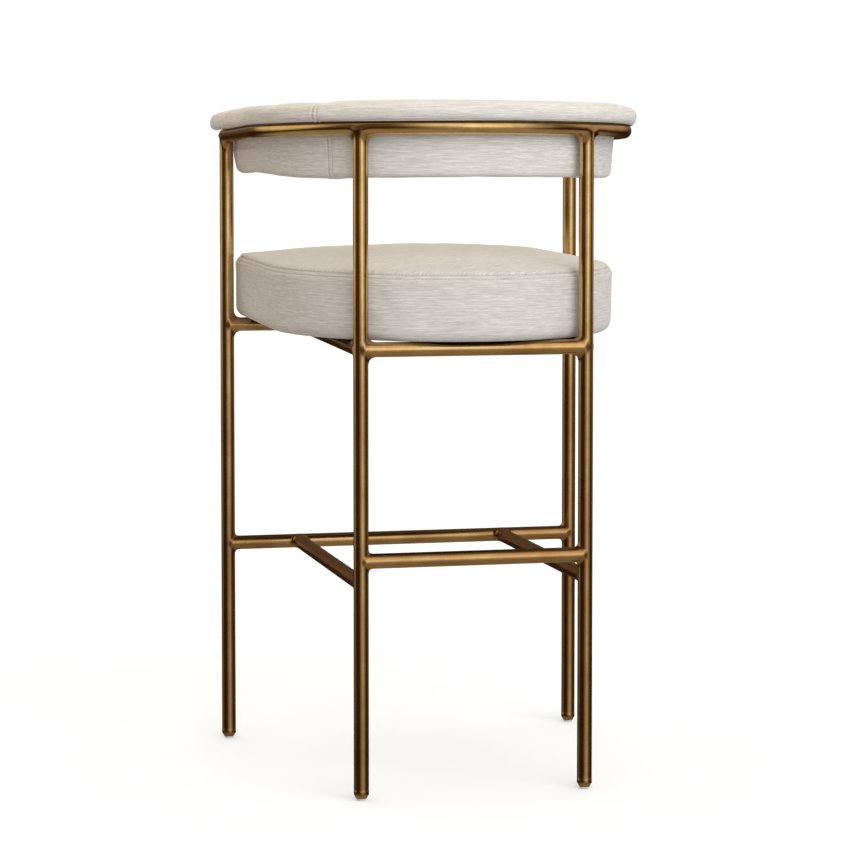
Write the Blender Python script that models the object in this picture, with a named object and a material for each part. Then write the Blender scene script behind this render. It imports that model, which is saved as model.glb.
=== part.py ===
"""Bar stool with a footrest: a welded tube frame, an upholstered seat and a horseshoe arm and back pad.

Metres, +Z up. The sitter faces -Y, so the left side is +X. The origin is on the floor, under the
middle of the stool's box. The frame is round tube: four upright legs, a U-shaped top rail standing
on them, a seat frame, and an H-shaped footrest. The seat climbs a little to the front, and the
arms fall a little.
"""

import math

import bmesh
import bpy

# Tube and joints
TUBE_R = 0.0105
TUBE_WALL = 0.0018
BORE_R = TUBE_R - TUBE_WALL
GAP = 0.0003
SIDES = 16

# Heights of the frame's centrelines at the rear legs, and how far each level climbs to the front legs
TOP_RAIL_Z = 0.930
SEAT_RAIL_Z = 0.6255
ARM_RISE = -0.005
SEAT_RISE = 0.012
FOOT_Z = 0.302
FOOT_REAR_Z = 0.333

# Plan of the frame
FRONT_HALF = 0.2715
REAR_HALF = 0.161
LEG_DEPTH = 0.460
PAD_NOSE = 0.038
ROLL_OVERHANG = 0.009
BACK_RISE = math.sqrt(FRONT_HALF**2 - REAR_HALF**2)
ARC_TO_BACK = FRONT_HALF + TUBE_R + ROLL_OVERHANG
TOTAL_DEPTH = PAD_NOSE + LEG_DEPTH - BACK_RISE + ARC_TO_BACK
FRONT_Y = PAD_NOSE - TOTAL_DEPTH / 2
REAR_Y = FRONT_Y + LEG_DEPTH
ARC_Y = REAR_Y - BACK_RISE
ARC_STEPS = 24
COPE_LOW = 0.05
COPE_HIGH = 0.75
COPE_PAST = 0.030

# Leg tips and glides
TIP_Z = 0.0030
TIP_CHAMFER = 0.0035
TIP_R = 0.0078
STEM_R = 0.0037
STEM_TOP = 0.014
PLUG_TOP = 0.016
GLIDE_R = 0.0066

# Seat, from the rails upwards
SEAT_REST_Z = SEAT_RAIL_Z + TUBE_R
DUST_T = 0.0008
LIP_T = 0.0020
BOARD_T = 0.012
BOARD_INSET = 0.010
DUST_INSET = 0.022
COVER_T = 0.0025
DUST_Z = SEAT_REST_Z + GAP
CUSHION_Z = DUST_Z + DUST_T + GAP
BOARD_Z = CUSHION_Z + LIP_T + GAP
NUT_ROOM = 0.0018
FOAM_Z = BOARD_Z + BOARD_T + NUT_ROOM
SEAM_Z = 0.7315
CROWN = 0.026
CROWN_REACH = 0.19
CROWN_SHARES = (0.12, 0.3, 0.6, 1.0)
TOP_EDGE = 0.004
SEAT_HALF = 0.2565
SEAT_FRONT_Y = FRONT_Y - PAD_NOSE
SEAT_CORNER = 0.014
CORNER_TIGHTENS = 0.4
SMALLEST_CORNER = 0.004
CORNER_STEPS = 4
SEAT_ARC_STEPS = 20
LIP_WIDTH = 0.040

# Arm and back pad, as offsets from the top rail's centreline: outward is positive
ROLL_OUT = TUBE_R + ROLL_OVERHANG
SLAB_OUT = -0.0135
SLAB_IN = -0.056
PAD_TOP = 0.967
PAD_UNDER = TOP_RAIL_Z + TUBE_R + 0.0004
SLAB_BOTTOM = 0.862
NOSE_LEAN = 0.26
PLATE_Z = PAD_UNDER + 0.0001
PLATE_T = 0.010
PLATE_IN = -0.044
PLATE_OUT = 0.009
WEB_IN = -0.040
WEB_OUT = -0.028
WEB_BOTTOM = 0.884
CORE_END = 0.005

# Fixings
SCREW_R = 0.0022
SCREW_HOLE_R = 0.0028
HEAD_R = 0.0042
HEAD_T = 0.0026
ACCESS_R = 0.0050
PILOT_R = 0.0026
PILOT_DEPTH = 0.009
CUT_PAST = 0.0005
HOLE_REACH = 0.016
HEAD_SEAT = 0.0072
PAD_SCREW_TOP = PLATE_Z + 0.0085
SEAT_SCREW_TOP = BOARD_Z + 0.011
NUT_FLANGE_R = 0.0085
NUT_FLANGE_T = 0.0010
NUT_R = 0.0034
NUT_START = 0.002
SMALL_SIDES = 12
PAD_SCREW_ANGLES = (20, 90, 160)
ARM_SCREW_Y = FRONT_Y + 0.060
SEAT_SCREW_YS = (-0.150, 0.110)


def clear_scene():
    for item in list(bpy.data.objects):
        bpy.data.objects.remove(item, do_unlink=True)


def material(name, color, roughness, metallic):
    made = bpy.data.materials.new(name)
    made.use_nodes = True
    shader = made.node_tree.nodes["Principled BSDF"]
    shader.inputs["Base Color"].default_value = (*color, 1.0)
    shader.inputs["Roughness"].default_value = roughness
    shader.inputs["Metallic"].default_value = metallic
    made.diffuse_color = (*color, 1.0)
    return made


def add_object(name, points, faces, finish, helper=False):
    """Makes one closed mesh object, with its faces turned outwards."""
    mesh = bpy.data.meshes.new(name)
    mesh.from_pydata([tuple(p) for p in points], [], faces)
    shape = bmesh.new()
    shape.from_mesh(mesh)
    bmesh.ops.recalc_face_normals(shape, faces=shape.faces)
    shape.to_mesh(mesh)
    shape.free()
    mesh.shade_smooth()
    mesh.set_sharp_from_angle(angle=math.radians(40))
    made = bpy.data.objects.new(name, mesh)
    bpy.context.scene.collection.objects.link(made)
    if helper:
        made.hide_render = True
        made.display_type = "WIRE"
    else:
        mesh.materials.append(finish)
    return made


def cutter(name, points, faces):
    return add_object("cut_" + name, points, faces, None, helper=True)


def cut(target, *cutters):
    for tool in cutters:
        step = target.modifiers.new("cut_" + tool.name, "BOOLEAN")
        step.operation = "DIFFERENCE"
        step.solver = "EXACT"
        step.object = tool


def band(first, second, count):
    """Quads that join two rings of points, given by the index of each ring's first point."""
    return [
        (first + k, first + (k + 1) % count, second + (k + 1) % count, second + k)
        for k in range(count)
    ]


def lathe(profile, x=0.0, y=0.0, z=0.0, sides=SIDES):
    """Points and faces of a closed (radius, height) profile turned about a vertical axis."""
    points = []
    rings = []
    for radius, height in profile:
        if radius < 1e-9:
            rings.append((len(points), 1))
            points.append((x, y, z + height))
            continue
        rings.append((len(points), sides))
        for k in range(sides):
            turn = 2 * math.pi * (k + 0.5) / sides
            points.append((x + radius * math.cos(turn), y + radius * math.sin(turn), z + height))
    faces = []
    for (first, many), (second, more) in zip(rings, rings[1:] + rings[:1]):
        if many == 1 and more == 1:
            continue
        for k in range(sides):
            low = [first] if many == 1 else [first + k, first + (k + 1) % sides]
            high = [second] if more == 1 else [second + (k + 1) % sides, second + k]
            faces.append(tuple(low + high))
    return points, faces


def sweep(sections, closed_ends=True):
    """Points and faces through a row of sections, each a ring of points, with both ends capped."""
    count = len(sections[0])
    points = [p for section in sections for p in section]
    faces = []
    for k in range(len(sections) - 1):
        faces += band(k * count, (k + 1) * count, count)
    if closed_ends:
        last = (len(sections) - 1) * count
        faces.append(tuple(range(count - 1, -1, -1)))
        faces.append(tuple(range(last, last + count)))
    return points, faces


def circle(centre, across, radius):
    """A ring of points about centre, in the plane of the level direction `across` and +Z."""
    ring = []
    for k in range(SIDES):
        turn = 2 * math.pi * (k + 0.5) / SIDES
        side, rise = radius * math.cos(turn), radius * math.sin(turn)
        ring.append((centre[0] + side * across[0], centre[1] + side * across[1], centre[2] + rise))
    return ring


def climb(y, rise):
    """Height gained at y by a part that climbs by `rise` from the rear legs to the front legs."""
    return rise * (REAR_Y - y) / LEG_DEPTH


def raked(shape, rise):
    """Shears a (points, faces) shape so that it climbs by `rise` from the rear legs to the front legs."""
    points, faces = shape
    return [(x, y, z + climb(y, rise)) for x, y, z in points], faces


def solid_bar(stations, radius):
    return sweep([circle(centre, across, radius) for centre, across in stations])


def hollow_bar(stations):
    """A tube through the stations, with its wall's thickness showing at both open ends."""
    outer, outer_faces = sweep([circle(c, a, TUBE_R) for c, a in stations], closed_ends=False)
    inner, inner_faces = sweep([circle(c, a, BORE_R) for c, a in stations], closed_ends=False)
    shift = len(outer)
    last = len(outer) - SIDES
    faces = outer_faces + [tuple(i + shift for i in face) for face in inner_faces]
    faces += band(0, shift, SIDES) + band(last, last + shift, SIDES)
    return outer + inner, faces


def straight(start, end):
    """Stations of a level straight bar."""
    length = math.dist(start, end)
    across = (-(end[1] - start[1]) / length, (end[0] - start[0]) / length)
    return [(start, across), (end, across)]


def rail_plan(front_end, steps=ARC_STEPS):
    """The top rail's plan from the left arm's end, round the back, to the right arm's end.

    Each station is a point on the centreline and the level direction pointing out of the U.
    """
    stations = [((FRONT_HALF, front_end), (1.0, 0.0))]
    for k in range(steps + 1):
        turn = math.pi * k / steps
        out = (math.cos(turn), math.sin(turn))
        stations.append(((FRONT_HALF * out[0], ARC_Y + FRONT_HALF * out[1]), out))
    stations.append(((-FRONT_HALF, front_end), (-1.0, 0.0)))
    return stations


def along_rail(section, front_end, leaning=False):
    """Sweeps a section of (outward offset, height) points round the top rail, which slopes."""
    plan = rail_plan(front_end)
    rings = []
    for k, ((x, y), out) in enumerate(plan):
        at_end = k in (0, len(plan) - 1)
        ring = []
        for offset, height in section:
            back = (PAD_TOP - height) * NOSE_LEAN if at_end and leaning else 0.0
            ring.append((x + offset * out[0], y + offset * out[1] + back, height))
        rings.append(ring)
    return raked(sweep(rings), ARM_RISE)


def legs_plan():
    return {
        "front_left": (FRONT_HALF, FRONT_Y),
        "front_right": (-FRONT_HALF, FRONT_Y),
        "rear_left": (REAR_HALF, REAR_Y),
        "rear_right": (-REAR_HALF, REAR_Y),
    }


def make_legs(brass, nylon):
    """Upright tubes with a drilled tip, coped on top to the rail, and a glide in each tip."""
    bar = rail_stations(FRONT_Y - COPE_PAST)
    rail_tool = cutter("top_rail", *raked(solid_bar(bar, TUBE_R + GAP), ARM_RISE))
    glide_profile = [
        (0, 0),
        (GLIDE_R - 0.0006, 0),
        (GLIDE_R, 0.0006),
        (GLIDE_R, TIP_Z - GAP),
        (STEM_R, TIP_Z - GAP),
        (STEM_R, STEM_TOP),
        (0, STEM_TOP),
    ]
    for corner, (x, y) in legs_plan().items():
        top = TOP_RAIL_Z + climb(y, ARM_RISE)
        leg_profile = [
            (STEM_R + GAP, TIP_Z),
            (TIP_R, TIP_Z),
            (TUBE_R, TIP_Z + TIP_CHAMFER),
            (TUBE_R, top),
            (BORE_R, top),
            (BORE_R, PLUG_TOP),
            (STEM_R + GAP, PLUG_TOP),
        ]
        leg = add_object("leg_" + corner, *lathe(leg_profile, x, y), brass)
        cut(leg, rail_tool)
        add_object("glide_" + corner, *lathe(glide_profile, x, y), nylon)


def rail_stations(front_end):
    return [((x, y, TOP_RAIL_Z), out) for (x, y), out in rail_plan(front_end)]


def leg_cutters():
    """A solid a little fatter than each leg, which copes the ends of the bars that meet it."""
    reach = TUBE_R + GAP
    profile = [(0, COPE_LOW), (reach, COPE_LOW), (reach, COPE_HIGH), (0, COPE_HIGH)]
    return {
        corner: cutter("leg_" + corner, *lathe(profile, x, y))
        for corner, (x, y) in legs_plan().items()
    }


def make_level_frame(brass, screw_cutters):
    """The seat frame and the footrest: front rail, rear rail and two crossbars at each level."""
    legs = leg_cutters()
    levels = {
        "seat": (SEAT_RAIL_Z, SEAT_RAIL_Z, SEAT_RISE),
        "footrest": (FOOT_Z, FOOT_REAR_Z, 0.0),
    }
    for level, (z, rear_z, rise) in levels.items():
        front = straight((FRONT_HALF, FRONT_Y, z), (-FRONT_HALF, FRONT_Y, z))
        rear = straight((REAR_HALF, REAR_Y, rear_z), (-REAR_HALF, REAR_Y, rear_z))
        rail = add_object(level + "_rail_front", *raked(hollow_bar(front), rise), brass)
        cut(rail, legs["front_left"], legs["front_right"])
        rail = add_object(level + "_rail_rear", *raked(hollow_bar(rear), rise), brass)
        cut(rail, legs["rear_left"], legs["rear_right"])
        front_tool = cutter(level + "_rail_front", *raked(solid_bar(front, TUBE_R + GAP), rise))
        rear_tool = cutter(level + "_rail_rear", *raked(solid_bar(rear, TUBE_R + GAP), rise))
        for side, x in (("left", REAR_HALF), ("right", -REAR_HALF)):
            line = straight((x, FRONT_Y, z), (x, REAR_Y, z))
            bar = add_object(f"{level}_crossbar_{side}", *raked(hollow_bar(line), rise), brass)
            cut(bar, front_tool, legs["rear_" + side])
            if level == "seat":
                cut(bar, rear_tool, *screw_cutters[side])


def stepped_hole(name, x, y, rail_z, rise):
    """The way for a hidden screw: a wide access hole below, and a clearance hole above."""
    profile = [
        (0, -HOLE_REACH),
        (ACCESS_R, -HOLE_REACH),
        (ACCESS_R, 0.0),
        (SCREW_HOLE_R, 0.0),
        (SCREW_HOLE_R, HOLE_REACH),
        (0, HOLE_REACH),
    ]
    return cutter(name, *raked(lathe(profile, x, y, rail_z, sides=SMALL_SIDES), rise))


def make_screw(name, x, y, rail_z, top_z, rise, steel):
    """A cap screw whose head sits inside the tube, against its upper wall."""
    seat = rail_z + HEAD_SEAT
    profile = [
        (0, seat - HEAD_T),
        (HEAD_R, seat - HEAD_T),
        (HEAD_R, seat),
        (SCREW_R, seat),
        (SCREW_R, top_z),
        (0, top_z),
    ]
    add_object(name, *raked(lathe(profile, x, y, sides=SMALL_SIDES), rise), steel)


def pad_screw_places():
    """Where the screws through the top rail stand, in order from the left arm to the right."""
    places = [(FRONT_HALF, ARM_SCREW_Y)]
    for degrees in PAD_SCREW_ANGLES:
        turn = math.radians(degrees)
        places.append((FRONT_HALF * math.cos(turn), ARC_Y + FRONT_HALF * math.sin(turn)))
    places.append((-FRONT_HALF, ARM_SCREW_Y))
    return places


def make_top_rail(brass, steel):
    """The U-shaped rail on the legs, its two end caps, and the pad's screws."""
    tube = hollow_bar(rail_stations(FRONT_Y - TUBE_R))
    rail = add_object("top_rail", *raked(tube, ARM_RISE), brass)
    for number, (x, y) in enumerate(pad_screw_places(), 1):
        cut(rail, stepped_hole(f"pad_screw_{number}", x, y, TOP_RAIL_Z, ARM_RISE))
        make_screw(f"pad_screw_{number}", x, y, TOP_RAIL_Z, PAD_SCREW_TOP, ARM_RISE, steel)
    for side, x in (("left", FRONT_HALF), ("right", -FRONT_HALF)):
        start = (x, FRONT_Y - TUBE_R, TOP_RAIL_Z)
        end = (x, FRONT_Y, TOP_RAIL_Z)
        plug = solid_bar(straight(start, end), BORE_R - GAP)
        add_object("top_rail_end_cap_" + side, *raked(plug, ARM_RISE), brass)


def pad_section(inset, under):
    """The pad's section: a rolled top that overhangs the rail, over a slab inside the rail."""
    out, top = ROLL_OUT - inset, PAD_TOP - inset
    slab_out, inner, bottom = SLAB_OUT - inset, SLAB_IN + inset, SLAB_BOTTOM + inset
    return [
        (out - 0.004, under),
        (out, under + 0.006),
        (out, top - 0.011),
        (out - 0.004, top - 0.004),
        (out - 0.012, top),
        (inner + 0.014, top),
        (inner + 0.004, top - 0.005),
        (inner, top - 0.014),
        (inner, bottom + 0.012),
        (inner + 0.004, bottom + 0.003),
        (inner + 0.012, bottom),
        (slab_out - 0.010, bottom),
        (slab_out - 0.003, bottom + 0.003),
        (slab_out, bottom + 0.010),
        (slab_out, under),
    ]


def core_section(grow):
    """The core's section: a plate that lies on the rail, and a web that hangs inside it."""
    return [
        (PLATE_OUT + grow, PLATE_Z - grow),
        (PLATE_OUT + grow, PLATE_Z + PLATE_T + grow),
        (PLATE_IN - grow, PLATE_Z + PLATE_T + grow),
        (PLATE_IN - grow, PLATE_Z - grow),
        (WEB_IN - grow, PLATE_Z - grow),
        (WEB_IN - grow, WEB_BOTTOM - grow),
        (WEB_OUT + grow, WEB_BOTTOM - grow),
        (WEB_OUT + grow, PLATE_Z - grow),
    ]


def make_arm_pad(fabric, foam, plywood):
    """The horseshoe pad: a bent core, the foam round it, and the sewn cover over the foam."""
    nose = FRONT_Y - PAD_NOSE
    core_front = FRONT_Y - CORE_END
    core = add_object("pad_core", *along_rail(core_section(0.0), core_front), plywood)
    for number, (x, y) in enumerate(pad_screw_places(), 1):
        profile = [(0, -CUT_PAST), (PILOT_R, -CUT_PAST), (PILOT_R, PILOT_DEPTH), (0, PILOT_DEPTH)]
        pilot = lathe(profile, x, y, PLATE_Z, sides=SMALL_SIDES)
        cut(core, cutter(f"pad_pilot_{number}", *raked(pilot, ARM_RISE)))

    core_tool = cutter("pad_core", *along_rail(core_section(GAP), core_front - GAP))
    inset = COVER_T + GAP
    foam_section = pad_section(inset, PAD_UNDER + inset)
    filling = add_object("pad_foam", *along_rail(foam_section, nose + inset, True), foam)
    cut(filling, core_tool)

    space_section = pad_section(COVER_T, PAD_UNDER + COVER_T)
    space = cutter("pad_space", *along_rail(space_section, nose + COVER_T, True))
    outer = along_rail(pad_section(0.0, PAD_UNDER), nose, True)
    cover = add_object("pad_cover", *outer, fabric)
    cut(cover, space, core_tool)


def seat_outline(inset):
    """The seat's plan, anticlockwise: a round back, straight sides and two rounded front corners."""
    half = SEAT_HALF - inset
    front = SEAT_FRONT_Y + inset
    corner = max(SMALLEST_CORNER, SEAT_CORNER - inset * CORNER_TIGHTENS)
    outline = []
    for k in range(SEAT_ARC_STEPS + 1):
        turn = math.pi * k / SEAT_ARC_STEPS
        outline.append((half * math.cos(turn), ARC_Y + half * math.sin(turn)))
    for side in (-1, 1):
        start = math.pi if side < 0 else 1.5 * math.pi
        centre = (side * (half - corner), front + corner)
        for k in range(CORNER_STEPS + 1):
            turn = start + 0.5 * math.pi * k / CORNER_STEPS
            outline.append((centre[0] + corner * math.cos(turn), centre[1] + corner * math.sin(turn)))
    return outline


def seat_loft(levels):
    """Stacks the seat's plan at (inset, height) levels into one solid, raked like the seat's rails."""
    rings = [[(x, y, z) for x, y in seat_outline(inset)] for inset, z in levels]
    return raked(sweep(rings), SEAT_RISE)


def cushion_levels(inset, bottom):
    """A boxed cushion: rounded lower edge, upright side, rounded upper edge and a crowned top."""
    levels = [(0.010 + inset, bottom), (0.003 + inset, bottom + 0.005), (inset, bottom + 0.016)]
    levels += [(inset, SEAM_Z - 0.012 - inset), (TOP_EDGE + inset, SEAM_Z - inset)]
    for share in CROWN_SHARES:
        rise = CROWN * math.sin(share * math.pi / 2) ** 0.8
        levels.append((TOP_EDGE + inset + CROWN_REACH * share, SEAM_Z + rise - inset))
    return levels


def slab_levels(inset, bottom, thickness):
    return [(inset, bottom), (inset, bottom + thickness)]


def make_seat(fabric, foam, plywood, dust_cloth, steel):
    """Dust cover, board, foam and sewn cover, held by screws up through the crossbars."""
    board_inset = COVER_T + 2 * GAP + BOARD_INSET
    board_levels = slab_levels(board_inset, BOARD_Z, BOARD_T)
    board = add_object("seat_board", *seat_loft(board_levels), plywood)
    dust_levels = slab_levels(DUST_INSET, DUST_Z, DUST_T)
    dust_cover = add_object("dust_cover", *seat_loft(dust_levels), dust_cloth)
    foam_inset = COVER_T + GAP
    add_object("seat_foam", *seat_loft(cushion_levels(foam_inset, FOAM_Z)), foam)

    space_levels = cushion_levels(COVER_T, CUSHION_Z + LIP_T)
    opening_levels = slab_levels(LIP_WIDTH, CUSHION_Z - 2 * CUT_PAST, LIP_T + 6 * CUT_PAST)
    cover = add_object("seat_cover", *seat_loft(cushion_levels(0.0, CUSHION_Z)), fabric)
    space = cutter("seat_space", *seat_loft(space_levels))
    opening = cutter("seat_opening", *seat_loft(opening_levels))
    cut(cover, space, opening)

    holes = {}
    flange_z = BOARD_Z + BOARD_T + GAP
    nut_profile = [
        (SCREW_R + GAP, BOARD_Z + NUT_START),
        (NUT_R, BOARD_Z + NUT_START),
        (NUT_R, flange_z),
        (NUT_FLANGE_R, flange_z),
        (NUT_FLANGE_R, flange_z + NUT_FLANGE_T),
        (SCREW_R + GAP, flange_z + NUT_FLANGE_T),
    ]
    hole_r = NUT_R + GAP
    hole_top = BOARD_T + NUT_START
    nut_hole = [(0, -NUT_START), (hole_r, -NUT_START), (hole_r, hole_top), (0, hole_top)]
    for side, x in (("left", REAR_HALF), ("right", -REAR_HALF)):
        holes[side] = []
        for place, y in zip(("front", "rear"), SEAT_SCREW_YS):
            name = f"{place}_{side}"
            holes[side].append(stepped_hole("seat_screw_" + name, x, y, SEAT_RAIL_Z, SEAT_RISE))
            make_screw("seat_screw_" + name, x, y, SEAT_RAIL_Z, SEAT_SCREW_TOP, SEAT_RISE, steel)
            nut = lathe(nut_profile, x, y, sides=SMALL_SIDES)
            add_object("seat_t_nut_" + name, *raked(nut, SEAT_RISE), steel)
            room = lathe(nut_hole, x, y, BOARD_Z, sides=SMALL_SIDES)
            cut(board, cutter("t_nut_" + name, *raked(room, SEAT_RISE)))
            cut(dust_cover, holes[side][-1])
    return holes


def main():
    clear_scene()
    brass = material("antique_brass", (0.42, 0.27, 0.10), 0.32, 1.0)
    fabric = material("ivory_linen", (0.78, 0.75, 0.70), 0.9, 0.0)
    foam = material("foam", (0.86, 0.80, 0.62), 0.95, 0.0)
    plywood = material("plywood", (0.62, 0.45, 0.28), 0.7, 0.0)
    dust_cloth = material("dust_cloth", (0.04, 0.04, 0.04), 0.95, 0.0)
    steel = material("zinc_steel", (0.60, 0.60, 0.62), 0.35, 1.0)
    nylon = material("nylon", (0.72, 0.72, 0.70), 0.5, 0.0)
    make_legs(brass, nylon)
    make_top_rail(brass, steel)
    screw_cutters = make_seat(fabric, foam, plywood, dust_cloth, steel)
    make_level_frame(brass, screw_cutters)
    make_arm_pad(fabric, foam, plywood)


main()
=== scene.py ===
"""Looks of the bar stool: a brass frame with filleted welds, and linen upholstery on a cloth simulation."""

import math

import bpy
import numpy as np
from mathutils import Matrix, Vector


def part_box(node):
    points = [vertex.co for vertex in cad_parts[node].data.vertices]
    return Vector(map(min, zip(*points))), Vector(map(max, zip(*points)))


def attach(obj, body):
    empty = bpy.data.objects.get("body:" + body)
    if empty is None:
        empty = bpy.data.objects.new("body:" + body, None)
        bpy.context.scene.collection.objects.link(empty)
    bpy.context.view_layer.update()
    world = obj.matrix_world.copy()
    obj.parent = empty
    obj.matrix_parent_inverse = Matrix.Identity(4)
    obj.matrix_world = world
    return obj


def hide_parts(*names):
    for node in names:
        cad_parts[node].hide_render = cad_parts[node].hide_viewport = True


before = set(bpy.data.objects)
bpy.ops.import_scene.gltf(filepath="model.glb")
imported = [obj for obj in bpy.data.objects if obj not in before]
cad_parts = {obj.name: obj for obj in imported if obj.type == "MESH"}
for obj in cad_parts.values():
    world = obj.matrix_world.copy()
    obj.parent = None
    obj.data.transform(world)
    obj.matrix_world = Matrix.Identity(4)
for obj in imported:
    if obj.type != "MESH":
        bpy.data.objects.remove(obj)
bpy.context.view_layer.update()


# ------------ places and sizes, from the frame

SIDES_IN_CAD = 16
FLAT_SHARE = math.cos(math.pi / SIDES_IN_CAD)  # a CAD tube is measured across its flats


def middle(node):
    low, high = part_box(node)
    return (low + high) / 2


def size(node):
    low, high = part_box(node)
    return high - low


LEGS = {
    corner: middle("leg_" + corner)
    for corner in ("front_left", "front_right", "rear_left", "rear_right")
}
TUBE_R = size("leg_front_left").x / 2 / FLAT_SHARE
FRONT_HALF = LEGS["front_left"].x
REAR_HALF = LEGS["rear_left"].x
FRONT_Y = LEGS["front_left"].y
REAR_Y = LEGS["rear_left"].y
LEG_DEPTH = REAR_Y - FRONT_Y
RAIL_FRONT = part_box("top_rail")[0].y
ARC_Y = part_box("top_rail")[1].y - FRONT_HALF - TUBE_R * FLAT_SHARE
SEAT_Z = middle("seat_rail_rear").z
SEAT_RISE = middle("seat_rail_front").z - SEAT_Z
FOOT_Z = middle("footrest_rail_front").z
FOOT_REAR_Z = middle("footrest_rail_rear").z
LEG_TIP_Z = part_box("leg_front_left")[0].z

# The top rail and its pad slope from the rear legs to the front: the slope is read off the rail's end caps.
RAIL_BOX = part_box("top_rail")
ARM_END_Z = middle("top_rail_end_cap_left").z
ARM_END_BACK = REAR_Y - middle("top_rail_end_cap_left").y
RAIL_TOP_BACK = RAIL_BOX[1].y - TUBE_R - REAR_Y
ARM_SLOPE = (RAIL_BOX[1].z - TUBE_R * FLAT_SHARE - ARM_END_Z) / (ARM_END_BACK + RAIL_TOP_BACK)
RAIL_Z = ARM_END_Z + ARM_SLOPE * ARM_END_BACK

SEAT_LOW, SEAT_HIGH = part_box("seat_cover")
PAD_LOW, PAD_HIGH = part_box("pad_cover")

TIP_HEIGHT = 0.013
CAP_LENGTH = 0.005
RAIL_FILLET = 0.017
SEAT_FILLET = 0.012
FOOT_FILLET = 0.007


def arm_drop(y):
    """How much lower the top rail and its pad are at y than at the rear legs."""
    return ARM_SLOPE * (REAR_Y - y)


def seat_climb(y):
    """How much higher the seat and its rails are at y than at the rear legs."""
    return SEAT_RISE * (REAR_Y - y) / LEG_DEPTH


# ------------ small helpers


def new_object(name, mesh, finish=None):
    made = bpy.data.objects.new(name, mesh)
    bpy.context.scene.collection.objects.link(made)
    if finish is not None:
        mesh.materials.append(finish)
    return made


def mesh_from(name, points, faces):
    mesh = bpy.data.meshes.new(name)
    mesh.from_pydata([tuple(map(float, p)) for p in points], [], [tuple(map(int, f)) for f in faces])
    mesh.update()
    return mesh


def points_of(mesh):
    flat = np.empty(len(mesh.vertices) * 3, np.float32)
    mesh.vertices.foreach_get("co", flat)
    return flat.reshape(-1, 3).astype(float)


def set_points(mesh, points):
    mesh.vertices.foreach_set("co", np.ascontiguousarray(points, np.float32).ravel())
    mesh.update()


def turns(count):
    """Angles that go once round, in even steps."""
    return [2 * math.pi * k / count for k in range(count)]


def ring_faces(rings, sides, first=0):
    """Faces between neighbouring rings of points, counted from the point numbered `first`."""
    faces = []
    for low in range(first, first + (rings - 1) * sides, sides):
        for k in range(sides):
            after = (k + 1) % sides
            faces.append((low + k, low + after, low + sides + after, low + sides + k))
    return faces


def bar_faces(rings, sides, first=0):
    """The same, with both ends closed."""
    last = first + (rings - 1) * sides
    ends = [tuple(range(first + sides - 1, first - 1, -1)), tuple(range(last, last + sides))]
    return ring_faces(rings, sides, first) + ends


def smoothstep(value, low, high):
    share = np.clip((value - low) / (high - low), 0.0, 1.0)
    return share * share * (3 - 2 * share)


def ripple(along, wavelength, seed):
    """A smooth irregular wave between about -1 and 1, made of a few sines with fixed phases."""
    total = np.zeros_like(along)
    for k, share in enumerate((1.0, 0.71, 0.53, 1.37, 1.83)):
        phase = 12.9898 * (seed + 1) + 78.233 * (k + 1)
        total += math.sin(phase * 3.7) * np.sin(2 * math.pi * along / wavelength * share + phase)
    return total / 2.0


# ------------ node helpers and materials


class Nodes:
    """A short way to build a node tree."""

    def __init__(self, tree):
        self.tree = tree

    def feed(self, socket, value):
        """Links a node's output to the socket, or sets the socket to a constant."""
        if isinstance(value, bpy.types.NodeSocket):
            self.tree.links.new(value, socket)
        else:
            socket.default_value = value

    def add(self, kind, inputs=None, **settings):
        node = self.tree.nodes.new(kind)
        for key, value in settings.items():
            setattr(node, key, value)
        for key, value in (inputs or {}).items():
            self.feed(node.inputs[key], value)
        return node

    def math(self, operation, first, second=0.0, third=None):
        inputs = {0: first, 1: second}
        if third is not None:
            inputs[2] = third
        return self.add("ShaderNodeMath", inputs, operation=operation).outputs[0]

    def mix(self, share, first, second, blend="MIX"):
        inputs = {0: share}
        for slot, color in ((6, first), (7, second)):
            inputs[slot] = color if isinstance(color, bpy.types.NodeSocket) else (*color, 1.0)
        return self.add("ShaderNodeMix", inputs, data_type="RGBA", blend_type=blend).outputs[2]


class Material(Nodes):
    """A material's node tree round its Principled shader."""

    def __init__(self, name):
        self.material = bpy.data.materials.new(name)
        self.material.use_nodes = True
        super().__init__(self.material.node_tree)
        self.shader = self.tree.nodes["Principled BSDF"]

    def set(self, **values):
        for key, value in values.items():
            self.feed(self.shader.inputs[key.replace("_", " ")], value)

    def attribute(self, name):
        return self.add("ShaderNodeAttribute", attribute_name=name).outputs

    def object_place(self):
        return self.add("ShaderNodeTexCoord").outputs["Object"]

    def scaled(self, vector, scale):
        return self.add("ShaderNodeMapping", {"Vector": vector, "Scale": scale}).outputs["Vector"]

    def times(self, first, second):
        return self.math("MULTIPLY", first, second)

    def grain(self, vector, stretch, detail, rough):
        """Noise that runs at its own scale along each axis."""
        return self.noise(self.scaled(vector, stretch), 1.0, detail, rough)

    def noise(self, vector, scale, detail, rough=0.5):
        inputs = {"Vector": vector, "Scale": scale, "Detail": detail, "Roughness": rough}
        return self.add("ShaderNodeTexNoise", inputs).outputs["Fac"]

    def ramp(self, value, *stops):
        node = self.add("ShaderNodeValToRGB", {"Fac": value})
        bar = node.color_ramp
        while len(bar.elements) < len(stops):
            bar.elements.new(0.5)
        for element, (place, color) in zip(bar.elements, stops):
            element.position = place
            element.color = (*color, 1.0)
        return node.outputs["Color"]

    def capped(self, value, most):
        """The value held between 0 and `most`."""
        return self.add("ShaderNodeClamp", {"Value": value, "Max": most}).outputs[0]

    def bump(self, height, distance, strength=1.0, under=None):
        inputs = {"Height": height, "Distance": distance, "Strength": strength}
        if under is not None:
            inputs["Normal"] = under
        return self.add("ShaderNodeBump", inputs).outputs["Normal"]


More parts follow.
